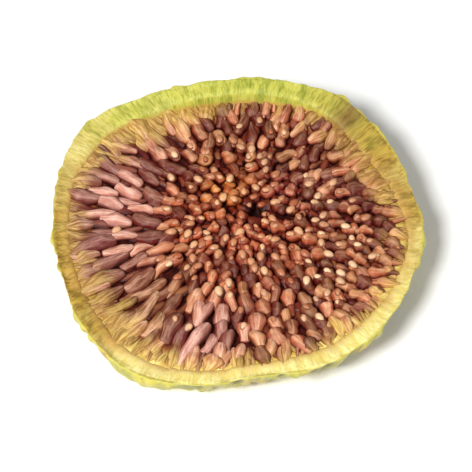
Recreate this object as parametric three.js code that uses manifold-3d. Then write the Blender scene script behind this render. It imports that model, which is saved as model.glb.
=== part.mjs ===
// One dried slice of a green fig, cut across the fruit and lying on its narrower cut face.
// The rind, which is the skin with the pale flesh under it, is a ring that leans in towards the surface.
// The pulp, with the florets and seeds that grow in it, is a plug of the same taper that sits in the ring.
// Millimetres, +Z up. The origin is on the surface that the slice lies on, under its middle.

import * as THREE from "three";
import { mergeVertices } from "three/addons/utils/BufferGeometryUtils.js";
import Module from "manifold-3d";

// Driving dimensions of the slice
const THICKNESS = 5.2; // from the surface to the upper cut face, where the rim is flat
const TAPER = 2.4; // how much smaller the radius is at the lower cut face
const TAPER_POWER = 1.6; // over 1, the skin bulges as a fruit's side does
const FOOT_COUNT = 3; // low places of the lower cut face, which the slice rests on
const FOOT_RISE = 0.9; // the lower cut face's wave, from trough to crest
const FOOT_FLAT = 0.25; // share of that wave which drying under its own weight has pressed flat
const FOOT_ANGLE = Math.PI / 2; // the first foot is under the curled side

// The rim at stations every 20 degrees, counter-clockwise from +X
const OUTLINE = [
  19.0, 19.0, 19.7, 20.3, 19.1, 18.6, 19.4, 21.2, 20.2,
  19.0, 18.8, 19.3, 20.2, 19.2, 17.8, 18.7, 18.8, 18.8,
]; // radius of the upper cut face
const RIND_WIDTH = [
  1.7, 2.3, 3.2, 2.9, 2.1, 2.0, 2.3, 2.9, 2.1,
  1.7, 1.7, 1.9, 2.1, 1.9, 1.8, 2.2, 2.0, 1.7,
]; // from the skin in to the pulp
const RIM_CURL = [
  0.2, 0.3, 0.6, 1.3, 2.0, 2.0, 1.4, 0.7, 0.4,
  0.3, 0.1, 0.0, 0.2, 0.0, -0.3, 0.0, 0.2, 0.1,
]; // how far the drying rim has curled up

// Cross-section of the rind as [across, level]: across runs from the skin, 0, in to the pulp's side, 1,
// and level from the lower cut face, 0, up to the upper one, 1
const RIND_SECTION = [
  [0.14, 0], [0, 0.1], [0, 0.35], [0, 0.62], [0, 0.86], [0.06, 0.96],
  [0.22, 1], [0.6, 0.98], [0.9, 0.93], [1, 0.84], [1, 0.5], [1, 0.14], [0.88, 0],
];
const RIND_STEPS = 90;

// The pulp
const SEAT_GAP = 0.3; // between the pulp and the rind
const PULP_DROP = 0.55; // of the pulp's upper face below the rim
const PULP_DISH = 0.4; // further drop at the middle
const PULP_CURL = 0.35; // share of the rim's curl that the pulp's edge follows
const PULP_LIFT = 1.1; // of the pulp's lower face above the rind's
const PULP_SHARES = [0.6, 1]; // rings of its two faces
const PULP_STEPS = 40;

// The florets, in rings round the middle of each face, larger than life so that they cover it
const UPPER_RINGS = 6;
const LOWER_RINGS = 5;
const RING_POWER = 1.15; // over 1, the rings widen outwards
const FLORET_PITCH = 2.2; // from floret to floret round a ring
const FLORET_HALF_WIDTH = 1.35;
const FLORET_HALF_HEIGHT = 0.9;
const FLORET_SINK = 0.3; // of a floret's middle below the pulp's face
const HEAD_HALF_LENGTH = 1.45; // in the middle, where the florets are seen end on
const EDGE_STRETCH = [
  1.15, 1.3, 1.3, 1.5, 1.75, 1.85, 1.75, 1.4, 1.2,
]; // how much longer they show at the edge, where they are cut along, every 40 degrees from +X
const TAIL_TILT = 0.16; // how far an outer floret's tail dips, in radians
const EDGE_MARGIN = 0.1; // left free of florets
const SPREAD = { turn: 0.2, reach: 0.2, size: 0.14, swing: 0.2 }; // of pitch, ring width, size and angle
const UPPER_DRAW = 4177; // first number of the upper face's random draws
const LOWER_DRAW = 9029; // and of the lower face's

// The seeds, each bare on the back of its floret near the inner end
const SEED_HALF_LENGTH = 0.95;
const SEED_HALF_WIDTH = 0.8;
const SEED_HALF_HEIGHT = 0.55;
const SEED_PLACE = 0.3; // of the floret's half length in from its middle
const SEED_RISE = 0.66; // of the floret's half height above its middle
const SEED_SHARE = 0.62; // of the florets that show one, where none is cut along

const TURN = 2 * Math.PI;
const wasm = await Module();
wasm.setup();

// The value of a ring of stations at any angle, on a smooth closed curve through them
function around(stations, angle) {
  const count = stations.length;
  const place = THREE.MathUtils.euclideanModulo(angle / TURN, 1) * count;
  const first = Math.floor(place);
  const t = place - first;
  const [a, b, c, d] = [-1, 0, 1, 2].map((step) => stations[(first + step + count) % count]);
  return b + 0.5 * t * (c - a + t * (2 * a - 5 * b + 4 * c - d + t * (3 * (b - c) + d - a)));
}

// How far the slice's side leans in at a level between its two faces
const lean = (level) => TAPER * (1 - level) ** TAPER_POWER;

// Height of the upper cut face's rim, and of the lower one, which is flat at each foot
const rimTop = (angle) => THICKNESS + around(RIM_CURL, angle);
function rimBottom(angle) {
  const wave = 0.5 - 0.5 * Math.cos(FOOT_COUNT * (angle - FOOT_ANGLE));
  return FOOT_RISE * Math.max(0, wave - FOOT_FLAT);
}

// A point of the rind, from the skin in and from the lower face up
function rindPoint(angle, across, level) {
  const radius = around(OUTLINE, angle) - lean(level) - across * around(RIND_WIDTH, angle);
  const height = THREE.MathUtils.lerp(rimBottom(angle), rimTop(angle), level);
  return new THREE.Vector3(radius * Math.cos(angle), radius * Math.sin(angle), height);
}

// A point of the pulp on its upper face (level 1), lower face (level 0) or side, at a share of its radius
function pulpPoint(angle, share, level) {
  const top = THICKNESS - PULP_DROP - PULP_DISH * (1 - share * share)
    + PULP_CURL * around(RIM_CURL, angle) * share ** 4;
  const bottom = PULP_LIFT + rimBottom(angle) * share ** 4;
  const height = THREE.MathUtils.lerp(bottom, top, level);
  const depth = (height - rimBottom(angle)) / (rimTop(angle) - rimBottom(angle));
  const edge = around(OUTLINE, angle) - lean(depth) - around(RIND_WIDTH, angle) - SEAT_GAP;
  return new THREE.Vector3(share * edge * Math.cos(angle), share * edge * Math.sin(angle), height);
}

// Turns a revolved profile into the slice's own shape: point(angle, profile x, profile y) places each vertex
function reshape(profile, steps, point) {
  const geometry = new THREE.LatheGeometry(profile.map(([x, y]) => new THREE.Vector2(x, y)), steps);
  const position = geometry.getAttribute("position");
  const vertex = new THREE.Vector3();
  for (let i = 0; i < position.count; i++) {
    vertex.fromBufferAttribute(position, i);
    const angle = Math.atan2(-vertex.z, vertex.x);
    const placed = point(angle, Math.hypot(vertex.x, vertex.z), vertex.y);
    position.setXYZ(i, placed.x, placed.y, placed.z);
  }
  return geometry;
}

// A closed solid from a geometry, and back
function toSolid(geometry) {
  const bare = geometry.clone().deleteAttribute("normal").deleteAttribute("uv");
  const merged = mergeVertices(bare, 1e-4);
  return new wasm.Manifold(new wasm.Mesh({
    numProp: 3,
    vertProperties: merged.getAttribute("position").array,
    triVerts: new Uint32Array(merged.index.array),
  }));
}
function toGeometry(solid) {
  const mesh = solid.getMesh();
  const geometry = new THREE.BufferGeometry();
  geometry.setAttribute("position", new THREE.BufferAttribute(mesh.vertProperties, mesh.numProp));
  geometry.setIndex(new THREE.BufferAttribute(mesh.triVerts, 1));
  geometry.computeVertexNormals();
  return geometry;
}

// Draws evenly from 0 to 1, the same on every run
function draws(first) {
  let state = first;
  return () => {
    state = (state * 16807) % 2147483647;
    return state / 2147483647;
  };
}

// The rind: a closed cross-section carried round the slice
function makeRind() {
  const closed = [...RIND_SECTION, RIND_SECTION[0]];
  const profile = closed.map(([across, level]) => [2 - across, level]);
  return reshape(profile, RIND_STEPS, (angle, x, level) => rindPoint(angle, 2 - x, level));
}

// The pulp's plug, before its florets
function makePlug() {
  const lower = PULP_SHARES.map((share) => [share, 0]);
  const upper = PULP_SHARES.toReversed().map((share) => [share, 1]);
  return reshape([[0, 0], ...lower, [1, 0.5], ...upper, [0, 1]], PULP_STEPS, pulpPoint);
}

// The florets of one face, each a low ellipsoid whose long way runs out from the middle, and their seeds
function makeFlorets(level, rings, drawFrom) {
  const draw = draws(drawFrom);
  const spread = (amount) => amount * (2 * draw() - 1);
  const edge = (angle) => Math.hypot(...pulpPoint(angle, 1, level).toArray().slice(0, 2));
  const middleEdge = around(OUTLINE, 0) - around(RIND_WIDTH, 0) - lean(level);
  const outward = level > 0.5 ? 1 : -1;
  const bodies = [];
  for (let ring = 0; ring < rings; ring++) {
    const middle = (ring / (rings - 0.5)) ** RING_POWER;
    const count = Math.max(1, Math.round((TURN * middle * middleEdge) / FLORET_PITCH));
    for (let i = 0; i < count; i++) {
      const angle = (TURN * (i + 0.5 * (ring % 2) + spread(SPREAD.turn))) / count;
      const size = 1 + spread(SPREAD.size);
      const stretch = THREE.MathUtils.lerp(1, around(EDGE_STRETCH, angle), middle ** 2);
      const halfLength = HEAD_HALF_LENGTH * stretch * size;
      const halfHeight = FLORET_HALF_HEIGHT * size;
      const furthest = 1 - (halfLength + EDGE_MARGIN) / edge(angle);
      const share = Math.min(middle * (1 + spread(SPREAD.reach) / Math.max(1, ring)), furthest);
      const floret = new THREE.IcosahedronGeometry(1, 0);
      floret.scale(halfLength, FLORET_HALF_WIDTH * size, halfHeight);
      const grown = [floret];
      if (draw() < SEED_SHARE * (2 - stretch)) {
        const seed = new THREE.OctahedronGeometry(1, 0);
        seed.scale(SEED_HALF_LENGTH, SEED_HALF_WIDTH, SEED_HALF_HEIGHT);
        seed.translate(-SEED_PLACE * halfLength, 0, outward * SEED_RISE * halfHeight);
        grown.push(seed);
      }
      const swing = spread(SPREAD.swing);
      const root = pulpPoint(angle, share, level);
      for (const body of grown) {
        body.rotateY(outward * TAIL_TILT * middle);
        body.rotateZ(angle + swing);
        body.translate(root.x, root.y, root.z - outward * FLORET_SINK);
        bodies.push(toSolid(body));
      }
    }
  }
  return bodies;
}

// The pulp with the florets and seeds of both faces grown into it
function makePulp() {
  const upper = makeFlorets(1, UPPER_RINGS, UPPER_DRAW);
  const lower = makeFlorets(0, LOWER_RINGS, LOWER_DRAW);
  return toGeometry(wasm.Manifold.union([toSolid(makePlug()), ...upper, ...lower]));
}

const slice = new THREE.Group();

const rind = new THREE.Mesh(makeRind(), new THREE.MeshStandardMaterial({
  color: 0xc9c258, // pale yellow-green
  roughness: 0.6,
  metalness: 0,
}));
rind.name = "rind";
slice.add(rind);

const pulp = new THREE.Mesh(makePulp(), new THREE.MeshStandardMaterial({
  color: 0x9a5a48, // red-brown
  roughness: 0.5,
  metalness: 0,
}));
pulp.name = "pulp_and_seeds";
slice.add(pulp);

export default slice;
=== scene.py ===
"""A dried slice of a green fig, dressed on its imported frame: rind, pulp, florets and seeds."""

import copy
import math

import bpy
import numpy as np
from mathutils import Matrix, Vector


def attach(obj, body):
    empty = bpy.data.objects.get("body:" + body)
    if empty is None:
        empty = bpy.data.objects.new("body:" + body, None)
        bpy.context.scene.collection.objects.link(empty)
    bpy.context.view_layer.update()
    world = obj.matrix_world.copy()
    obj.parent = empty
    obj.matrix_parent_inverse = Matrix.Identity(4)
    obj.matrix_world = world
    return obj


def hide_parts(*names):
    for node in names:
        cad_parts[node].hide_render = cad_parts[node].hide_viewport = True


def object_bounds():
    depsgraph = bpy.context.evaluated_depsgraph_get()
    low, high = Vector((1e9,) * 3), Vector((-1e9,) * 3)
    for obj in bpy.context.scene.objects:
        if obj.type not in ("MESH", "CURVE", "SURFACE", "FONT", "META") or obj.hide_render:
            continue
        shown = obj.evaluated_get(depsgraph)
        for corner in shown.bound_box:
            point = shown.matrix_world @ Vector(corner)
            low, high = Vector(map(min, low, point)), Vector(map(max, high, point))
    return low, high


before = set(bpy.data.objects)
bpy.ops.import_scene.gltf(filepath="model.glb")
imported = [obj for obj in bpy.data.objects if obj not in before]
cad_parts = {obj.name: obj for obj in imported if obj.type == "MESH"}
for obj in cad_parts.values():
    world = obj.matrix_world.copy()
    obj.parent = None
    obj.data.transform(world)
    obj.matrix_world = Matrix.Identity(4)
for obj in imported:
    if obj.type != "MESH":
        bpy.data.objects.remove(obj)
cad_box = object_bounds()

TAU = 2 * math.pi
MM = 0.001

# Corners of the rind's cross-section in the frame, counted from the lowest outer one, up the skin and round
SKIN_FROM, SKIN_TO = 1, 4
RIM_EDGE, RIM_TOP, RIM_INNER = 5, 7, 8
SEAT_TOP, SEAT_MIDDLE, SEAT_LOW, FOOT_INNER = 9, 10, 11, 12

# Where the skin turns into flesh and its side into the rim, counted the same way
SKIN_BEGINS, SKIN_ENDS = (SKIN_FROM - 0.7, SKIN_FROM), (RIM_EDGE, RIM_EDGE + 0.5)
SIDE_ENDS = SKIN_TO - 0.5, RIM_EDGE + 0.3

# Fineness of the rind's mesh
RIND_COLUMNS = 1080
ROWS_PER_CORNER = 6

# Wrinkles of the dried skin, as (count round the slice, depth)
SKIN_FOLDS = [(26, 0.24 * MM), (64, 0.3 * MM), (150, 0.2 * MM), (280, 0.1 * MM)]
CREASES, CREASE_DEPTH = 72, 0.4 * MM
CREASE_POWER = 0.6  # under 1, the creases are narrower than the swells between them
CREASE_LEVEL = 0.7  # share of a crease's depth that lies below the plain skin
FOLD_SLANT = 0.6  # the most that a fold leans, as a share of its spacing
FOLD_FULL = 0.45 * MM  # a fold of this height has its full painted shade in its crease and painted highlight on its ridge
RIM_FOLDS = 0.35  # share of the folds' depth that is left on the rim
FLESH_FIBRES = [(40, 0.05 * MM), (110, 0.06 * MM), (260, 0.04 * MM)]
FLAT_FEET = 0.05 * MM, 0.5 * MM  # heights between which the wrinkles begin

# The rind's cut edge, with widths counted in corners of its cross-section
LIP, LIP_WIDTH = 0.16 * MM, 0.28  # how far the skin stands proud
SHRUNK, SHRUNK_WIDTH = 0.28 * MM, 0.9  # how far the flesh beside it has shrunk in
SHRUNK_AT = RIM_TOP - 0.5
EDGE_MEAN = 0.7  # how much of both there is on average
EDGE_WAVES = [(36, 0.5), (90, 0.3)]  # and how it varies, as (count round the rim, share)
RIPE = 0.1 * MM, 0.6 * MM  # heights over the pulp's edge between which its colour ends

# Fineness of the fibres' colours, round the slice and across it
GRAIN_ROUND = 22
RIND_GRAIN_ACROSS, BED_GRAIN_ACROSS = 0.012, 0.1
RIND_STRIPS = 5  # on the bake map

# The pulp's bed, which the florets stand in
RIM_CURL_SHARE = 0.35  # how much of the rim's curl its edge follows
BED_POWER = 5  # over 1, it is flat in the middle and rises at the edge
BED_SEAT = 0.35 * MM  # how far its edge runs into the rind
BED_FIBRES = [(40, 0.07 * MM), (75, 0.06 * MM)]  # along its edge, as those of the flesh
BED_LUMPS = 0.05 * MM
BED_INNERMOST = 0.04  # share of the way out to its first row of points
BED_ROWS = 44
BED_COLUMNS = 180
PIT = np.array([2.0, 3.1]) * MM  # the hollow left by the fruit's inner space
PIT_WIDTH = 1.3 * MM
PIT_DEPTH = 1.1 * MM
PIT_CLEAR = 0.9 * MM  # no floret stands nearer to its middle
HEART = np.array([0.3, 1.0]) * MM  # the place that the florets point away from

# Shares of the way out between which something begins or ends
BED_FIBRED, BED_PALE, BED_SEATED = (0.75, 0.9), (0.82, 1.0), (0.97, 1)
STREAKS_BEGIN, MAUVE_BEGINS, HEART_ENDS = (0.25, 0.8), (0.3, 0.7), (0.15, 0.66)
FLORETS_SINK = 0.75, 0.95
PALE_WIDTH, PALE_SPREAD = 0.24, 0.045  # of the step to pale flesh, and of its place on single florets

# Patches of the pulp, as (middle, width)
DUSK = np.array([6.0, 5.2]) * MM, 4.6 * MM  # darker and wine-red
AMBER = np.array([-1.3, 5.8]) * MM, 2.3 * MM  # clear and orange
PINK = np.array([-3.0, -11.6]) * MM, 3.0 * MM
PINK_SHARE = 1.2
STRAW = np.array([-8.6, -8.8]) * MM, 4.0 * MM  # light and tan

# Florets: sizes, and how near they come to each other as shares of their width and length
FLORET_WIDTH = 1.5 * MM
HEAD_LENGTH = 1.75 * MM
WIDTHS, LENGTHS = (0.72, 1.22), (0.75, 1.2)  # how single ones differ
STREAK_WIDER = 0.15
SIDE_SPACING = 0.86
LONG_SPACING = 0.5
THROWS = 20000
FILL_FROM, FILL_SIZE = 13000, 0.7  # the later throws are smaller, to fill what is left
STRANDS = 260
STRAND_WIDTH = 0.6 * MM
STRAND_LENGTH = 2.6 * MM
STRAND_SHARES = 0.9, 0.98  # of the way out
STRAND_SHIFT = 0.4  # the most to either side, as a share of their spacing
LAST_SHARE = 0.94  # of the way out, where the last florets stand
HEAD_INWARD, STREAK_INWARD = 0.14, 0.26  # lengths that heads are drawn in, and how much more streaks are
TURN, STREAK_STEADY = 0.65, 0.65  # radians out of line, and how much less for streaks
LIFT, STREAK_LOW = 0.5 * MM, 0.4  # the most that they stand out of the bed, and how much less for streaks
SMALL_SINK, EDGE_SINK = 0.2 * MM, 0.15 * MM
OVERHANG = 0.75 * MM  # how far a tail runs out over the rind's flesh
OVERHANGS = 0.2, 1.2  # how single ones differ
LEDGE = 0.1 * MM  # the rise of flesh that takes a whole overhang
WALL, WALL_SHORTER = (0.8 * MM, 1.6 * MM), 0.8  # the rise that takes less, and how much less
ROOTED_WITHIN = 0.45  # tails that end this near the rind grow out of it, as a share of their length
ROOT_SINK = 0.22 * MM  # of a tail's end into that flesh
TAIL_SINK = 0.12 * MM  # of a tail's end into the pulp
SINK_POWER = 2.4  # over 1, it is mostly the tail that sinks
BEND = 0.12  # to the side, as a share of the length
FLORET_MESH = 15, 14  # rows and columns
SMALL_MESH = 11, 10

# A floret's form: widths of beads and streaks at places from head to tail
FORM_AT = [0, 0.06, 0.15, 0.3, 0.5, 0.75, 0.92, 1]
BEAD_FORM = [0.2, 0.62, 0.9, 1, 0.92, 0.74, 0.6, 0.4]
STREAK_FORM = [0.24, 0.56, 0.78, 0.94, 1, 0.92, 0.78, 0.6]
ROOT_FROM, ROOT_THINNER = 0.6, 0.5  # a rooted tail thins from here, by this share
HEIGHT, STREAK_FLATTER = 0.86, 0.12  # as shares of its width
HEAD_AT = 0.3  # where along it the head is thickest
BACK = 0.43  # height of its back over its middle, as a share of its width

# Relief on a floret, as (depth, count round it, twist along it)
RIBS = [(0.17, 3, 2.5), (0.1, 4, -4)]
HEAD_RIBBED, STREAK_RIBBED = 0.45, 0.2  # how much of the ribs heads have, and how much more streaks have
WAISTS = [(0.1, 0, 8), (0.06, 2, 15)]
FINE_RIBS = [(0.05, 6, 5)]

# Shade: how much less the under side of pale tails has, and how much small florets and the hollow have
PALE_UNSHADED = 0.7
SMALL_SHADE = 0.22
PIT_SHADE = 0.8

# Fibres on a floret: fineness round it and along it, and the step to the next one's pattern
FIBRE_ROUND, FIBRE_ALONG, FIBRE_APART = 3.0, 0.6, 9

# Seeds, with widths as shares of their length
SEED_AT = 0.3  # the place along a floret
SEED_LENGTH = 1.12 * MM
SEED_LENGTHS = 0.66, 1.2  # how single ones differ
SEED_WIDTH, SEED_HEIGHT, SEED_TAPER = 0.7, 0.64, 0.18
SEED_TURN = 0.7  # radians out of the floret's line
SEED_SINK = 0.2 * MM  # of a seed's middle below its floret's back
SEED_MARGIN = 0.03  # share of the way out that they keep from pale flesh
SEEDLESS, STREAK_SEEDLESS = 0.3, 0.6  # share of heads without a seed, and how much more of streaks
SEED_ROWS = 7
SEED_COLUMNS = 10

# Stations every 40 degrees, counter-clockwise from +X
COMB = [0.15, 0.45, 0.35, 0.6, 0.9, 1.0, 1.0, 0.4, 0.2]  # how far the florets were cut along, into streaks
STREAK = np.array([1.9, 2.6, 2.6, 3.4, 4.4, 4.8, 4.6, 2.9, 2.1]) * MM  # floret length at the edge
MAUVE = [0.1, 0.15, 0.15, 0.2, 0.9, 0.75, 0.2, 0.2, 0.1]  # pulp that dried pinkish grey
BLEND = [0.85, 0.74, 0.88, 0.74, 0.82, 0.81, 0.81, 0.87, 0.86]  # share of the way out to pale flesh
GREEN = [0.05, 0.25, 0.85, 0.7, 0.15, 0.1, 0.0, 0.0, 0.0]  # rind that stayed green on its cut face
OLIVE = [0.45, 1.0, 0.7, 0.42, 0.5, 0.85, 0.25, 0.05, 0.1]  # rind that has browned there
STAIN_AT, STAIN_WIDTH = 50, 5  # a brown stain on the rim, in degrees

# The stage, with sizes and distances in widths of the slice
TABLE_HALF = 20
AMBIENT = 0.28
KEY_LIGHT = -40, 50, 12, 3.5, 2.3  # azimuth, elevation, distance, size and power
FILL_LIGHT = 65, 35, 12, 9.0, 0.45
LENS = 120.0
VIEW_ELEVATION = 54
VIEW_FILL = 0.78  # the slice's share of the picture's width


def around(stations, angle):
    """The value of a closed ring of stations at any angles, on a smooth curve through them."""
    stations = np.asarray(stations, float)
    count = len(stations)
    place = (np.asarray(angle) / TAU % 1) * count
    first = np.floor(place).astype(int)
    t = (place - first).reshape(place.shape + (1,) * (stations.ndim - 1))
    a, b, c, d = (stations[(first + step) % count] for step in (-1, 0, 1, 2))
    return b + 0.5 * t * (c - a + t * (2 * a - 5 * b + 4 * c - d + t * (3 * (b - c) + d - a)))


def smooth(low, high, value):
    """0 below low, 1 above high, and a soft step between."""
    t = np.clip((value - low) / (high - low), 0, 1)
    return t * t * (3 - 2 * t)


def bell(value):
    """1 at 0, falling softly to 0 on both sides."""
    return np.exp(-(value**2))


def near(patch, x, y):
    """1 in the middle of a patch, falling softly to 0 round it."""
    place, width = patch
    return bell(np.hypot(x - place[0], y - place[1]) / width)


def rind_sections(node):
    """The cross-sections of the frame's rind from angle 0 on, each as corners of (radius, height)."""
    corners = np.empty(len(node.data.vertices) * 3, np.float32)
    node.data.vertices.foreach_get("co", corners)
    corners = np.unique(np.round(corners.reshape(-1, 3).astype(float), 7), axis=0)
    turn = np.round(np.degrees(np.arctan2(corners[:, 1], corners[:, 0])), 1) % 360
    sections = []
    for angle in np.unique(turn):
        own = corners[turn == angle]
        points = np.column_stack([np.hypot(own[:, 0], own[:, 1]), own[:, 2]])
        spoke = points - points.mean(axis=0)
        points = points[np.argsort(np.arctan2(spoke[:, 1], spoke[:, 0]))]
        low = points[:, 1] < points[:, 1].min() + 0.01 * MM
        first = np.argmax(np.where(low, points[:, 0], 0))
        sections.append(np.roll(points, -first, axis=0))
    return np.array(sections)


SECTIONS = rind_sections(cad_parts["rind"])


class Weave:
    """The faces of a closed surface of rows and columns: a tube with a point at each end, or a ring."""

    def __init__(self, rows, columns, ring=False):
        self.points = rows * columns + (0 if ring else 2)
        self.faces, self.places = [], []
        start = 0 if ring else 1

        def corner(row, column):
            return start + row % rows * columns + column % columns

        for row in range(rows if ring else rows - 1):
            for column in range(columns):
                steps = ((row, column), (row, column + 1), (row + 1, column + 1), (row + 1, column))
                self.faces.append([corner(*step) for step in steps])
                self.places.append([(c / columns, (r + start) / (rows + start)) for r, c in steps])
        if not ring:
            end = self.points - 1
            for column in range(columns):
                near, far = column / columns, (column + 1) / columns
                low, high = 1 / (rows + 1), rows / (rows + 1)
                self.faces.append([0, corner(0, column + 1), corner(0, column)])
                self.places.append([((near + far) / 2, 0), (far, low), (near, low)])
                self.faces.append([end, corner(rows - 1, column), corner(rows - 1, column + 1)])
                self.places.append([((near + far) / 2, 1), (near, high), (far, high)])


def make_piece(name, weave, copies, traits, cells):
    """A mesh of one or more copies of a weave. traits are named values of its points, and
    cells(copy, places) lays a copy's face corners out on the bake map."""
    mesh = bpy.data.meshes.new(name)
    faces = [[i + n * weave.points for i in face] for n in range(len(copies)) for face in weave.faces]
    mesh.from_pydata(np.concatenate(copies).tolist(), [], faces)
    layout = mesh.uv_layers.new(name="OFBake")
    places = np.array([place for face in weave.places for place in face])
    laid = np.concatenate([cells(n, places) for n in range(len(copies))])
    layout.data.foreach_set("uv", laid.astype(np.float32).ravel())
    for trait, values in traits.items():
        values = np.asarray(values, np.float32)
        kind, field = ("FLOAT", "value") if values.ndim == 1 else ("FLOAT_VECTOR", "vector")
        mesh.attributes.new(trait, kind, "POINT").data.foreach_set(field, values.ravel())
    mesh.shade_smooth()
    piece = bpy.data.objects.new(name, mesh)
    bpy.context.scene.collection.objects.link(piece)
    return piece


def tiles(count):
    """Lays copies out side by side on the bake map, each in a square of its own."""
    side = math.ceil(math.sqrt(count))
    margin = 0.06

    def cells(copy, places):
        corner = np.array([copy % side, copy // side])
        return (corner + margin + (1 - 2 * margin) * places) / side

    return cells


def strips(count):
    """Lays a long ring out on the bake map as strips, one above the other."""
    margin = 0.03

    def cells(copy, places):
        by_face = places.reshape(-1, 4, 2)
        strip = np.floor(by_face[:, :, 0].mean(axis=1) * count)[:, None]
        along = by_face[:, :, 0] * count - strip
        across = margin + (1 - 2 * margin) * by_face[:, :, 1]
        return np.stack([along, (strip + across) / count], axis=-1).reshape(-1, 2)

    return cells


def dress(piece, node, finish):
    """Gives a piece its material and its place in the frame."""
    piece.data.materials.append(finish)
    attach(piece, "root")
    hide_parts(node)


class Value:
    """A number, colour or vector that varies over a surface. Operators on a number add Math nodes."""

    def __init__(self, finish, socket):
        self.finish = finish
        self.socket = socket

    def math(self, operation, *terms):
        return self.finish.node("ShaderNodeMath", {"operation": operation}, dict(enumerate(terms)))

    def __add__(self, other):
        return self.math("ADD", self, other)

    def __sub__(self, other):
        return self.math("SUBTRACT", self, other)

    def __rsub__(self, other):
        return self.math("SUBTRACT", other, self)

    def __mul__(self, other):
        return self.math("MULTIPLY", self, other)

    __radd__ = __add__
    __rmul__ = __mul__

    def fraction(self):
        return self.math("FRACT", self)

    def step(self, low, high):
        """0 below low, 1 above high, and a soft step between."""
        ends = {"Value": self, "From Min": low, "From Max": high}
        return self.finish.node("ShaderNodeMapRange", {"interpolation_type": "SMOOTHSTEP"}, ends)


class Finish:
    """One material under construction."""

    def __init__(self, name):
        self.material = bpy.data.materials.new(name)
        self.material.use_nodes = True
        self.tree = self.material.node_tree
        self.tree.nodes.clear()

    def node(self, kind, settings, values, output=0):
        """Adds a node: settings are its own, values are numbers or links for its sockets."""
        made = self.tree.nodes.new(kind)
        for name, setting in settings.items():
            setattr(made, name, setting)
        for name, value in values.items():
            if isinstance(value, Value):
                self.tree.links.new(value.socket, made.inputs[name])
            else:
                made.inputs[name].default_value = value
        return Value(self, made.outputs[output]) if made.outputs else None

    def trait(self, name, output="Fac"):
        return self.node("ShaderNodeAttribute", {"attribute_name": name}, {}, output)

    def grain(self, where, scale, detail=3.0, rough=0.5):
        """Noise from 0 to 1 about a middle of 0.5."""
        values = {"Vector": where, "Scale": scale, "Detail": detail, "Roughness": rough}
        return self.node("ShaderNodeTexNoise", {}, values)

    def place(self):
        return self.node("ShaderNodeTexCoord", {}, {}, "Object")

    def mix(self, first, second, share):
        """One colour into another."""
        settings = {"data_type": "RGBA", "clamp_factor": True}
        return self.node("ShaderNodeMix", settings, {0: share, 6: first, 7: second}, 2)

    def bump(self, height, depth):
        return self.node("ShaderNodeBump", {}, {"Height": height, "Distance": depth, "Strength": 1.0})

    def done(self, **values):
        """Closes the material with a Principled surface that has these socket values."""
        named = {name.replace("_", " "): value for name, value in values.items()}
        surface = self.node("ShaderNodeBsdfPrincipled", {}, named)
        self.node("ShaderNodeOutputMaterial", {}, {"Surface": surface})
        return self.material


def paint(red, green, blue):
    """A colour given as on a screen, 0 to 255, in the linear values that shaders take."""
    screen = np.array([red, green, blue]) / 255
    linear = np.where(screen <= 0.04045, screen / 12.92, ((screen + 0.055) / 1.055) ** 2.4)
    return (*linear.tolist(), 1.0)


def rind_finish():
    """Wrinkled yellow-green skin with painted shade in its creases and painted highlights on its fold
    ridges, and cut flesh that runs from cream to olive and green.
    """
    f = Finish("dried_fig_rind")
    skin, green, olive, inner = (f.trait(name) for name in ("skin", "green", "olive", "inner"))
    fold = f.trait("fold")
    along = f.trait("grain", "Vector")
    fibre = f.grain(along, 1.0, 4.0, 0.6) * 0.5 + f.grain(along, 3.6, 3.0, 0.6) * 0.5
    blotch = f.grain(f.place(), 260.0, 3.0, 0.55)
    patch = f.grain(f.place(), 120.0, 2.0, 0.5)
    speck = f.grain(f.place(), 1500.0, 2.0, 0.6)
    pucker = f.grain(f.place(), 620.0, 4.0, 0.6)

    flesh = f.mix(paint(230, 208, 108), paint(252, 244, 168), fibre.step(0.4, 0.62))
    browned = f.mix(paint(134, 102, 30), paint(192, 156, 60), fibre.step(0.38, 0.6))
    flesh = f.mix(flesh, browned, (olive + (blotch - 0.5) * 1.3).step(0.05, 0.85))
    grassy = f.mix(paint(142, 152, 42), paint(206, 202, 86), fibre.step(0.36, 0.6))
    flesh = f.mix(flesh, grassy, (green + (blotch - 0.5) * 0.8).step(0.1, 0.8))
    ripe = inner * (fibre * 1.4 + blotch * 0.6 - 0.35)
    flesh = f.mix(flesh, paint(204, 154, 78), ripe.step(0.15, 0.8) * 0.7)
    flesh = f.mix(flesh, paint(118, 74, 40), f.trait("stain") * blotch.step(0.3, 0.6) * 0.7)

    peel = f.mix(paint(142, 144, 42), paint(204, 186, 60), (fibre * 0.6 + blotch * 0.5).step(0.42, 0.68))
    peel = f.mix(peel, paint(178, 118, 42), (patch * 0.7 + blotch * 0.4).step(0.56, 0.7) * 0.65)
    # Painted shade: the skin's creases darkened to dark olive; painted highlight: its fold ridges lightened
    peel = f.mix(peel, paint(84, 76, 26), (0 - fold).step(0.05, 0.9) * 0.75)
    peel = f.mix(peel, paint(226, 212, 112), fold.step(0.25, 0.9) * 0.4)
    peel = f.mix(peel, paint(216, 206, 92), f.trait("lip") * 0.6)
    peel = f.mix(peel, paint(104, 66, 30), speck.step(0.62, 0.74) * blotch.step(0.48, 0.66) * 0.7)
    return f.done(
        Base_Color=f.mix(flesh, peel, skin),
        Roughness=0.58 - 0.16 * skin + (fibre - 0.5) * 0.2,
        Subsurface_Weight=0.12,
        Subsurface_Radius=(1.0, 0.7, 0.25),
        Subsurface_Scale=0.8 * MM,
        Normal=f.bump(fibre * 0.6 + speck * 0.25 + pucker * skin * 0.8, 0.24 * MM),
    )


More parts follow.
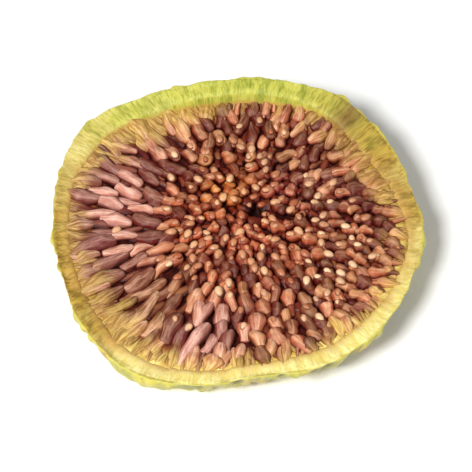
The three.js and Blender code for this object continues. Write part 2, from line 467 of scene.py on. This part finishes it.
def bed_finish():
    """The sticky pulp between the florets, nearly black: its own dark red with painted shade for the gaps;
    and the flesh that it grows out of at the edge.
    """
    f = Finish("dried_fig_pulp")
    lump = f.grain(f.place(), 900.0, 4.0, 0.6)
    fibre = f.grain(f.trait("grain", "Vector"), 1.0, 4.0, 0.6)
    # Nearly black pulp: partly the jam's own dark red, partly painted shade for the gaps between florets
    colour = f.mix(paint(40, 3, 1), paint(96, 26, 14), lump.step(0.4, 0.72))
    flesh = f.mix(paint(206, 166, 76), paint(242, 222, 132), fibre.step(0.38, 0.66))
    browned = f.mix(paint(146, 106, 36), paint(194, 152, 64), fibre.step(0.36, 0.64))
    flesh = f.mix(flesh, browned, f.trait("olive"))
    rim = f.trait("rim") + (fibre - 0.5) * 0.8
    colour = f.mix(colour, paint(156, 88, 50), rim.step(0.05, 0.45))
    colour = f.mix(colour, flesh, rim.step(0.35, 0.85))
    return f.done(
        Base_Color=colour,
        Specular_IOR_Level=0.2,
        Roughness=0.6 + (lump - 0.5) * 0.3,
        Normal=f.bump(lump * 0.5 + fibre * 0.5, 0.25 * MM),
    )


def floret_finish():
    """Florets from pinkish grey at one side to tan at the other, orange in the middle, pale at the rind,
    with painted highlights on their tops and painted shade under them.
    """
    f = Finish("dried_fig_florets")
    tint, comb, mauve, heart = (f.trait(name) for name in ("tint", "comb", "mauve", "heart"))
    pale, painted_shade, olive = (f.trait(name) for name in ("pale", "painted_shade", "olive"))
    bright = tint.step(0.1, 0.9)
    fibre = f.grain(f.trait("grain", "Vector"), 1.0, 5.0, 0.62)
    patch = f.grain(f.place(), 340.0, 2.0, 0.5)
    pucker = f.grain(f.place(), 1500.0, 3.0, 0.6)
    # Some florets, and most of those in one patch, dried to tan
    honey = (tint * 7.0).fraction().step(0.6, 0.9) * (1 - mauve) * (1 - heart * 0.7)
    honey = honey * 0.6 + f.trait("straw") * 0.7

    colour = f.mix(paint(94, 22, 6), paint(186, 94, 48), bright)
    colour = f.mix(colour, f.mix(paint(114, 44, 40), paint(196, 128, 110), bright), mauve)
    colour = f.mix(colour, f.mix(paint(94, 10, 3), paint(184, 66, 24), bright), heart * 0.85)
    colour = f.mix(colour, f.mix(paint(74, 8, 12), paint(150, 56, 48), bright), f.trait("dusk") * 0.8)
    colour = f.mix(colour, f.mix(paint(116, 58, 22), paint(202, 146, 88), bright), honey)
    colour = f.mix(colour, paint(70, 12, 6), patch.step(0.5, 0.7) * 0.5)
    clear = f.mix(paint(178, 80, 22), paint(232, 152, 64), bright)
    colour = f.mix(colour, clear, f.trait("amber") * 0.85)

    # Painted highlight: pale pink-tan laid along the fibres on each floret's top, fading where its painted
    # shade begins; brighter florets get more
    light = f.mix(paint(255, 206, 158), paint(255, 208, 190), mauve)
    ridge = 0.45 + comb * 0.05 + (fibre - 0.5) * (0.5 + 0.5 * comb)
    shine = (ridge - painted_shade * 0.9 - patch.step(0.5, 0.75) * 0.08).step(0.3, 0.64)
    colour = f.mix(colour, light, shine * (0.26 + 0.6 * bright) * (1 - heart * 0.2))
    creamy = f.mix(paint(186, 134, 62), paint(236, 208, 110), fibre.step(0.36, 0.62))
    browned = f.mix(paint(126, 82, 36), paint(192, 150, 74), fibre.step(0.34, 0.64))
    creamy = f.mix(creamy, browned, olive * 0.85)
    colour = f.mix(colour, creamy, pale.step(0.05, 1.0) * (0.68 + 0.24 * tint))
    # Painted shade: florets darkened to dark red and nearly black on their under sides, on small sunken
    # ones and in the hollow
    colour = f.mix(colour, paint(90, 18, 8), painted_shade.step(0.08, 0.34) * (1 - pale * 0.5) * 0.85)
    colour = f.mix(colour, paint(40, 3, 1), painted_shade.step(0.26, 0.52) * 0.95)
    return f.done(
        Base_Color=colour,
        Specular_IOR_Level=0.3,
        Roughness=0.4 + (fibre - 0.5) * 0.3,
        Subsurface_Weight=0.08,
        Subsurface_Radius=(1.0, 0.45, 0.3),
        Subsurface_Scale=0.4 * MM,
        Normal=f.bump(fibre * 0.6 + pucker * 0.7, 0.16 * MM),
    )


def seed_finish():
    """Mottled tan seed coats, redder in the middle of the slice, with painted shade on their sides and
    under side, where they sink in.
    """
    f = Finish("dried_fig_seeds")
    tint = f.trait("tint")
    pore = f.grain(f.place(), 2600.0, 2.0, 0.5)
    blotch = f.grain(f.place(), 1100.0, 3.0, 0.6)
    colour = f.mix(paint(176, 98, 58), paint(252, 208, 162), tint)
    colour = f.mix(colour, f.mix(paint(162, 58, 22), paint(252, 190, 130), tint), f.trait("heart") * 0.65)
    colour = f.mix(colour, paint(150, 70, 34), blotch.step(0.45, 0.7) * 0.5)
    # Painted shade: the seed darkened below its top, down to where it sinks into its floret
    colour = f.mix(colour, paint(90, 22, 10), f.trait("painted_shade").step(0.08, 0.48) * 0.94)
    return f.done(
        Base_Color=colour,
        Roughness=0.38 + (pore - 0.5) * 0.2,
        Normal=f.bump(pore * 0.5 + blotch * 0.6, 0.1 * MM),
    )


def floor_finish():
    """A plain, nearly white table top."""
    f = Finish("pale_table")
    cloud = f.grain(f.place(), 3.0, 2.0, 0.5)
    return f.done(Base_Color=f.mix(paint(250, 250, 248), paint(252, 252, 250), cloud), Roughness=0.7)


class CutFace:
    """One face of the pulp: up is 1 for the upper face and -1 for the lower. drop is how far its edge lies
    from the rim, and dish how much further its middle does."""

    def __init__(self, up, drop, dish):
        self.up = up
        seat, rim, crest = (SEAT_TOP, RIM_INNER, RIM_TOP) if up > 0 else (SEAT_LOW, FOOT_INNER, FOOT_INNER)
        level = np.median(SECTIONS[:, rim, 1])
        self.seat = SECTIONS[:, seat, 0]
        curl = SECTIONS[:, rim, 1] - level
        self.edge_height = level + np.where(up * curl > 0, RIM_CURL_SHARE, 1) * curl - up * drop
        self.middle_height = level - up * (drop + dish)
        self.slope = SECTIONS[:, crest] - np.column_stack([self.seat, self.edge_height])
        self.slope[:, 1] = np.maximum(self.slope[:, 1], 0)

    def edge(self, angle):
        return around(self.seat, angle)

    def height(self, x, y):
        """Height of the bed at a place, with the hollow in its middle, and of the rind past its edge."""
        angle = np.arctan2(y, x)
        reach, edge = np.hypot(x, y), self.edge(angle)
        share = np.minimum(reach / edge, 1)
        bed = self.middle_height + (around(self.edge_height, angle) - self.middle_height) * share**BED_POWER
        width, climb = np.moveaxis(around(self.slope, angle), -1, 0)
        bed = bed + climb * np.clip((reach - edge) / width, 0, 1)
        return bed - self.up * PIT_DEPTH * near((PIT, PIT_WIDTH), x, y)

    def spot(self, angle, share):
        """The place at a share of the way from the heart to the edge."""
        reach = share * self.edge(angle)
        pull = 1 - np.clip(share, 0, 1) ** 2
        return reach * np.cos(angle) + HEART[0] * pull, reach * np.sin(angle) + HEART[1] * pull

    def overhang(self, angle):
        """How far tails run out over the rind: less where it is a wall, and not on the lower face."""
        climb = around(self.slope, angle)[..., 1]
        return OVERHANG * smooth(0, LEDGE, climb) * (1 - WALL_SHORTER * smooth(*WALL, climb))


UPPER = CutFace(1, 0.1 * MM, 1.1 * MM)
LOWER = CutFace(-1, 1.15 * MM, 0.2 * MM)


def ripple(waves, angle, sway, draw):
    """A sum of random folds of these counts and depths, which slant as they run along sway."""
    total = 0
    for count, depth in waves:
        slant = draw.uniform(-FOLD_SLANT, FOLD_SLANT) * TAU / count
        total = total + depth * around(draw.uniform(-1, 1, count), angle + slant * sway)
    return total


def wrinkles(angle, sway, draw):
    """Folds of the skin, and the sharper creases between them."""
    crease = np.abs(ripple([(CREASES, 1)], angle, sway, draw)) ** CREASE_POWER - CREASE_LEVEL
    return ripple(SKIN_FOLDS, angle, sway, draw) + CREASE_DEPTH * crease


def make_rind():
    """The ring of skin and flesh, refined from the frame's cross-sections and wrinkled by drying."""
    draw = np.random.default_rng(5)
    angle = np.arange(RIND_COLUMNS) / RIND_COLUMNS * TAU
    rows = SECTIONS.shape[1] * ROWS_PER_CORNER
    loop = np.arange(rows) / rows * TAU
    rings = around(SECTIONS, angle)
    section = around(rings.swapaxes(0, 1), loop)
    corner = (loop / TAU * SECTIONS.shape[1])[:, None]
    inside = smooth(RIM_EDGE, RIM_INNER, corner) * (1 - smooth(SEAT_LOW, FOOT_INNER + 1, corner))
    corner = np.where(corner > SEAT_MIDDLE, corner - SECTIONS.shape[1], corner)
    forward = np.roll(section, -1, axis=0) - np.roll(section, 1, axis=0)
    out = np.stack([forward[..., 1], -forward[..., 0]], axis=-1)
    out /= np.linalg.norm(out, axis=-1, keepdims=True)
    skin = smooth(*SKIN_BEGINS, corner) * (1 - smooth(*SKIN_ENDS, corner))
    sway = (corner - SKIN_FROM) / 2
    side = (1 - smooth(*SIDE_ENDS, corner)) * skin
    low, high = (wrinkles(angle, sway, draw) for _ in range(2))
    folds = low + (high - low) * smooth(0, 1.5, sway)
    folds = (RIM_FOLDS + (1 - RIM_FOLDS) * side) * skin * folds
    folds = folds + (1 - skin) * ripple(FLESH_FIBRES, angle, sway, draw)
    uneven = EDGE_MEAN + ripple(EDGE_WAVES, angle, 0, draw)
    lip = LIP * bell((corner - RIM_EDGE) / LIP_WIDTH) * uneven
    shrunk = SHRUNK * bell((corner - SHRUNK_AT) / SHRUNK_WIDTH) * (2 * EDGE_MEAN - uneven)
    relief = (folds + lip - shrunk) * smooth(*FLAT_FEET, section[..., 1])
    reach, height = np.moveaxis(section + out * relief[..., None], -1, 0)
    height = np.maximum(height, 0)
    inner = inside * (1 - smooth(*RIPE, height - around(UPPER.edge_height, angle)))

    def over(value):
        """A value of the rind's rows or columns, given to all its points."""
        return np.broadcast_to(value, height.shape).ravel()

    points = np.column_stack([over(reach * np.cos(angle)), over(reach * np.sin(angle)), over(height)])
    grain = [over(np.cos(angle)), over(np.sin(angle)), over(RIND_GRAIN_ACROSS * corner)]
    traits = {
        "skin": over(skin),
        "green": over(around(GREEN, angle)),
        "olive": over(around(OLIVE, angle)),
        "stain": over(bell((np.degrees(angle) - STAIN_AT) / STAIN_WIDTH)),
        # Fold height, which the finish turns into painted shade in creases and painted highlights on ridges
        "fold": over(folds / FOLD_FULL),
        "lip": over(bell(corner - RIM_EDGE)),
        "inner": over(inner),
        "grain": GRAIN_ROUND * np.column_stack(grain),
    }
    weave = Weave(rows, RIND_COLUMNS, ring=True)
    piece = make_piece("rind_skin_and_flesh", weave, [points], traits, strips(RIND_STRIPS))
    dress(piece, "rind", rind_finish())


def make_bed():
    """The pulp's body: both faces and the side between them, which runs a little into the rind."""
    draw = np.random.default_rng(8)
    angle = np.arange(BED_COLUMNS) / BED_COLUMNS * TAU
    shares = np.linspace(BED_INNERMOST, 1, BED_ROWS)
    fibres = ripple(BED_FIBRES, angle, 0, draw)
    rows = []
    for face, order in ((LOWER, shares), (UPPER, shares[::-1])):
        for share in order:
            reach = share * face.edge(angle)
            x, y = reach * np.cos(angle), reach * np.sin(angle)
            lumps = BED_LUMPS * draw.normal(size=BED_COLUMNS) * share * (1 - share**8)
            lumps = lumps + fibres * smooth(*BED_FIBRED, share)
            seat = BED_SEAT * smooth(*BED_SEATED, share)
            outward = np.column_stack([seat * np.cos(angle), seat * np.sin(angle), lumps])
            rows.append(np.column_stack([x, y, face.height(x, y)]) + outward)
    low_pole = [0, 0, rows[0][:, 2].mean()]
    high_pole = [0, 0, rows[-1][:, 2].mean()]
    points = np.concatenate([[low_pole], *rows, [high_pole]])

    def spread(by_row, by_column):
        """A value of the bed's rows and columns, given to all its points."""
        return np.concatenate([[0], (by_row[:, None] + by_column).ravel(), [0]])

    share = np.concatenate([shares, shares[::-1]])
    traits = {
        "rim": spread(smooth(*BED_PALE, share), 0 * angle),
        "olive": spread(0 * share, around(OLIVE, angle)),
        "grain": GRAIN_ROUND * np.column_stack([
            spread(0 * share, np.cos(angle)),
            spread(0 * share, np.sin(angle)),
            spread(BED_GRAIN_ACROSS * share, 0 * angle),
        ]),
    }
    piece = make_piece("pulp_bed", Weave(2 * BED_ROWS, BED_COLUMNS), [points], traits, tiles(1))
    dress(piece, "pulp_and_seeds", bed_finish())


class Florets:
    """The florets of one face: thrown at random and kept where no other is too near, large ones first,
    then small ones in what is left. Thin strands stand all round the edge, where the pulp grows out of
    the rind."""

    def __init__(self, face, size, draw):
        strands = draw.uniform(-STRAND_SHIFT, STRAND_SHIFT, STRANDS) + np.arange(STRANDS)
        angle = np.concatenate([draw.uniform(0, TAU, THROWS), TAU * strands / STRANDS])
        share = np.sqrt(draw.uniform(0, 1, THROWS))
        share = np.concatenate([share, draw.uniform(*STRAND_SHARES, STRANDS)])
        total = len(angle)
        thin = np.arange(total) >= THROWS
        small = np.arange(total) >= FILL_FROM
        outer = smooth(*STREAKS_BEGIN, share)
        comb = around(COMB, angle) * outer
        length = HEAD_LENGTH + (around(STREAK, angle) - HEAD_LENGTH) * outer
        size = np.where(small, FILL_SIZE * size, size)
        length = np.where(thin, STRAND_LENGTH, length * size) * draw.uniform(*LENGTHS, total)
        width = np.where(thin, STRAND_WIDTH, FLORET_WIDTH * size * (1 + STREAK_WIDER * comb))
        width = width * draw.uniform(*WIDTHS, total)
        inward = (HEAD_INWARD + STREAK_INWARD * comb) * length / face.edge(angle)
        share = np.where(thin, share, share * (1 - inward))
        x, y = face.spot(angle, share)
        further = face.spot(angle, share + 0.05)
        heading = np.arctan2(further[1] - y, further[0] - x)
        cos, sin = np.cos(heading), np.sin(heading)
        clear = (np.hypot(x - PIT[0], y - PIT[1]) > PIT_CLEAR) & (share < LAST_SHARE)
        kept = []
        for i in np.flatnonzero(clear & ~thin):
            away_x, away_y = x[kept] - x[i], y[kept] - y[i]
            long = (away_x * cos[i] + away_y * sin[i]) / (LONG_SPACING * length[i])
            side = (away_y * cos[i] - away_x * sin[i]) / (SIDE_SPACING * width[i])
            if np.all(long**2 + side**2 > 1):
                kept.append(i)
        kept.extend(np.flatnonzero(thin))
        self.face = face
        self.count = len(kept)
        self.angle, self.share, self.comb = angle[kept], share[kept], comb[kept]
        self.length, self.width = length[kept], width[kept]
        self.x, self.y = x[kept], y[kept]
        self.thin, self.small = thin[kept], (small & ~thin)[kept]
        turn = draw.uniform(-TURN, TURN, self.count) * (1 - STREAK_STEADY * self.comb)
        self.heading = heading[kept] + turn
        self.tint = draw.uniform(0, 1, self.count)
        lift = draw.uniform(0, LIFT, self.count) * (1 - STREAK_LOW * self.comb)
        self.lift = lift - SMALL_SINK * self.small - EDGE_SINK * smooth(*FLORETS_SINK, self.share)
        overhang = face.overhang(self.angle) * draw.uniform(*OVERHANGS, self.count)
        room = (1 - self.share) * face.edge(self.angle) + overhang
        tail = (1 - HEAD_AT) * self.length
        self.rooted = tail > room - ROOTED_WITHIN * self.length
        self.tail = np.where(self.rooted, room, tail)

    def only(self, chosen):
        """Some of the florets."""
        some = copy.copy(self)
        for name, values in vars(self).items():
            if isinstance(values, np.ndarray):
                setattr(some, name, values[chosen])
        some.count = np.count_nonzero(chosen)
        return some

    def line(self, steps, bend):
        """Points along the middle of each floret, from head to tail, and their shares of the way out."""
        edge = self.face.edge(self.angle)
        head = HEAD_AT * self.length
        out = -head[:, None] + (head + self.tail)[:, None] * steps
        side = np.sin(np.pi * steps) * bend[:, None]
        cos, sin = np.cos(self.heading)[:, None], np.sin(self.heading)[:, None]
        x = self.x[:, None] + out * cos - side * sin
        y = self.y[:, None] + out * sin + side * cos
        sunk = np.where(self.rooted, ROOT_SINK, TAIL_SINK)
        rise = self.lift[:, None] - (sunk + self.lift)[:, None] * steps**SINK_POWER
        return x, y, self.face.height(x, y) + self.face.up * rise, self.share[:, None] + out / edge[:, None]


def make_florets(name, florets, rows, columns, draw):
    """Florets: each a ribbed, shrunken drop with its head to the middle and its tail to the rind."""
    face, count = florets.face, florets.count
    along = np.linspace(0, 1, rows + 2)[1:-1]
    steps = np.concatenate([[0], along, [1]])
    bend = draw.uniform(-BEND, BEND, count) * florets.length
    x, y, z, reach = florets.line(steps, bend)
    middle = slice(1, -1)

    bead, streak = (np.interp(along, FORM_AT, form) for form in (BEAD_FORM, STREAK_FORM))
    comb = florets.comb[:, None]
    drop = bead + (streak - bead) * comb
    drop = drop * (1 - florets.rooted[:, None] * ROOT_THINNER * smooth(ROOT_FROM, 1, along))
    phase = draw.uniform(0, TAU, (4, count, 1, 1))
    turn = np.arange(columns) / columns * TAU

    def relief(waves, phases):
        """A sum of waves that run round each floret."""
        total = 0
        for (depth, number, twist), start in zip(waves, phases):
            total = total + depth * np.cos(number * turn + twist * along[:, None] + start)
        return total

    ribs = 1 + relief(RIBS, phase[:2]) * (HEAD_RIBBED + STREAK_RIBBED * comb)[:, None]
    ribs = ribs * (1 + relief(WAISTS, phase[2:] - TAU / 4)) * (1 + relief(FINE_RIBS, phase[3:]))
    half = 0.5 * florets.width[:, None, None] * drop[:, :, None] * ribs
    across = half * np.cos(turn)
    above = (HEIGHT - STREAK_FLATTER * comb)[:, None] * half * np.sin(turn)
    cos, sin = np.cos(florets.heading)[:, None, None], np.sin(florets.heading)[:, None, None]
    body = np.stack([
        x[:, middle, None] - face.up * across * sin,
        y[:, middle, None] + face.up * across * cos,
        z[:, middle, None] + face.up * above,
    ], axis=-1)
    ends = np.stack([x, y, z], axis=-1)
    copies = np.concatenate([ends[:, :1], body.reshape(count, -1, 3), ends[:, -1:]], axis=1)

    def spread(by_row):
        """A value of each floret's rows, given to all their points and both ends."""
        inner = np.repeat(by_row[:, middle], columns, axis=1)
        return np.concatenate([by_row[:, :1], inner, by_row[:, -1:]], axis=1)

    whirl = np.concatenate([[0], np.tile(turn, rows), [0]])
    pale_from = around(BLEND, florets.angle) + draw.normal(0, PALE_SPREAD, count)
    pale = spread(smooth(0, PALE_WIDTH, reach - pale_from[:, None]))
    # Painted shade on each floret's under side, less on pale tails, more on small florets and in the hollow
    painted_shade = (0.5 - 0.5 * np.sin(whirl)) * (1 - PALE_UNSHADED * pale)
    painted_shade = painted_shade + SMALL_SHADE * florets.small[:, None] * (1 - pale)
    place = copies[..., 0], copies[..., 1]
    painted_shade = np.maximum(painted_shade, PIT_SHADE * near((PIT, PIT_WIDTH), *place))
    grain = np.broadcast_arrays(
        FIBRE_ROUND * np.cos(whirl) + FIBRE_APART * np.arange(count)[:, None],
        FIBRE_ROUND * np.sin(whirl),
        FIBRE_ALONG * spread(reach * face.edge(florets.angle)[:, None] / MM),
    )
    mauve = around(MAUVE, florets.angle) * smooth(*MAUVE_BEGINS, florets.share)
    mauve = mauve + PINK_SHARE * near(PINK, florets.x, florets.y)
    whole = {
        "tint": florets.tint,
        "mauve": mauve,
        "heart": 1 - smooth(*HEART_ENDS, florets.share),
        "olive": around(OLIVE, florets.angle),
        "comb": florets.comb,
    }
    traits = {trait: np.repeat(values, copies.shape[1]) for trait, values in whole.items()}
    traits["dusk"] = near(DUSK, *place).ravel()
    traits["amber"] = near(AMBER, *place).ravel()
    traits["straw"] = near(STRAW, *place).ravel()
    traits["pale"] = pale.ravel()
    traits["painted_shade"] = painted_shade.ravel()
    traits["grain"] = np.stack(grain, axis=-1).reshape(-1, 3)
    piece = make_piece(name, Weave(rows, columns), list(copies), traits, tiles(count))
    dress(piece, "pulp_and_seeds", floret_finish())


def make_seeds(name, florets, draw):
    """Seeds: a flattened egg sunk in most floret heads, fewer among the streaks."""
    face = florets.face
    seedy = draw.uniform(0, 1, florets.count) > SEEDLESS + STREAK_SEEDLESS * florets.comb
    red = florets.share < around(BLEND, florets.angle) - SEED_MARGIN
    florets = florets.only(seedy & red)
    x, y, z, _ = (row[:, 0] for row in florets.line(np.array([SEED_AT]), 0 * florets.length))
    count = florets.count
    length = SEED_LENGTH * draw.uniform(*SEED_LENGTHS, count)
    heading = florets.heading + draw.uniform(-SEED_TURN, SEED_TURN, count)
    tint = draw.uniform(0, 1, count)
    along = (np.arange(SEED_ROWS) + 0.5) / SEED_ROWS * math.pi
    turn = np.arange(SEED_COLUMNS) / SEED_COLUMNS * TAU
    egg = np.sin(along) * (1 + SEED_TAPER * np.cos(along))
    half = 0.5 * length[:, None, None]
    fore = -half * np.cos(along)[:, None]
    across = SEED_WIDTH * half * egg[:, None] * np.cos(turn)
    above = SEED_HEIGHT * half * egg[:, None] * np.sin(turn)
    cos, sin = np.cos(heading)[:, None, None], np.sin(heading)[:, None, None]
    top = z + face.up * (BACK * florets.width - SEED_SINK)
    body = np.stack([
        x[:, None, None] + fore * cos - face.up * across * sin,
        y[:, None, None] + fore * sin + face.up * across * cos,
        top[:, None, None] + face.up * above,
    ], axis=-1)
    tip = np.stack([0.5 * length * np.cos(heading), 0.5 * length * np.sin(heading), 0 * x], axis=-1)
    core = np.stack([x, y, top], axis=-1)
    ends = [(core + way * tip)[:, None] for way in (-1, 1)]
    copies = np.concatenate([ends[0], body.reshape(count, -1, 3), ends[1]], axis=1)
    # Painted shade: 0 at a seed's top, rising towards its middle and below
    painted_shade = 0.5 - face.up * (copies[..., 2] - top[:, None]) / (SEED_HEIGHT * length[:, None])
    traits = {
        "tint": np.repeat(tint, copies.shape[1]),
        "heart": np.repeat(1 - smooth(*HEART_ENDS, florets.share), copies.shape[1]),
        "painted_shade": painted_shade.ravel(),
    }
    weave = Weave(SEED_ROWS, SEED_COLUMNS)
    piece = make_piece(name, weave, list(copies), traits, tiles(count))
    dress(piece, "pulp_and_seeds", seed_finish())


def make_stage():
    """A pale table, soft studio light, and the camera at the angle that the slice was seen from."""
    low, high = (np.array(corner) for corner in cad_box)
    middle = Vector((low + high) / 2)
    width = high[0] - low[0]
    half = TABLE_HALF * width
    mesh = bpy.data.meshes.new("table")
    corners = [(-half, -half, 0), (half, -half, 0), (half, half, 0), (-half, half, 0)]
    mesh.from_pydata(corners, [], [(0, 1, 2, 3)])
    mesh.materials.append(floor_finish())
    table = bpy.data.objects.new("table", mesh)
    bpy.context.scene.collection.objects.link(table)

    world = bpy.data.worlds.new("studio")
    world.use_nodes = True
    backdrop = world.node_tree.nodes["Background"]
    backdrop.inputs["Color"].default_value = (1.0, 1.0, 1.0, 1.0)
    backdrop.inputs["Strength"].default_value = AMBIENT
    bpy.context.scene.world = world

    def lamp(name, azimuth, elevation, distance, size, power):
        light = bpy.data.lights.new(name, "AREA")
        light.shape = "DISK"
        light.size = size * width
        light.energy = power
        holder = bpy.data.objects.new(name, light)
        a, e = math.radians(azimuth), math.radians(elevation)
        way = Vector((math.cos(e) * math.sin(a), -math.cos(e) * math.cos(a), math.sin(e)))
        holder.location = middle + way * distance * width
        holder.rotation_euler = way.to_track_quat("Z", "Y").to_euler()
        bpy.context.scene.collection.objects.link(holder)

    lamp("key_light", *KEY_LIGHT)
    lamp("fill_light", *FILL_LIGHT)

    lens = bpy.data.cameras.new("camera")
    lens.lens = LENS
    lens.clip_start = 0.01
    camera = bpy.data.objects.new("camera", lens)
    view_width = width / VIEW_FILL
    elevation = math.radians(VIEW_ELEVATION)
    way = Vector((0, -math.cos(elevation), math.sin(elevation)))
    camera.location = middle + way * view_width * lens.lens / lens.sensor_width
    camera.rotation_euler = way.to_track_quat("Z", "Y").to_euler()
    bpy.context.scene.collection.objects.link(camera)
    bpy.context.scene.camera = camera
    bpy.context.scene.view_settings.view_transform = "Standard"


make_stage()
make_rind()
make_bed()
for side, face, size, start in (("upper", UPPER, 1.0, 21), ("lower", LOWER, 1.12, 34)):
    draw = np.random.default_rng(start)
    florets = Florets(face, size, draw)
    small = florets.small | florets.thin
    make_florets("florets_" + side, florets.only(~small), *FLORET_MESH, draw)
    make_florets("small_florets_" + side, florets.only(small), *SMALL_MESH, draw)
    make_seeds("seeds_" + side, florets.only(~small), draw)
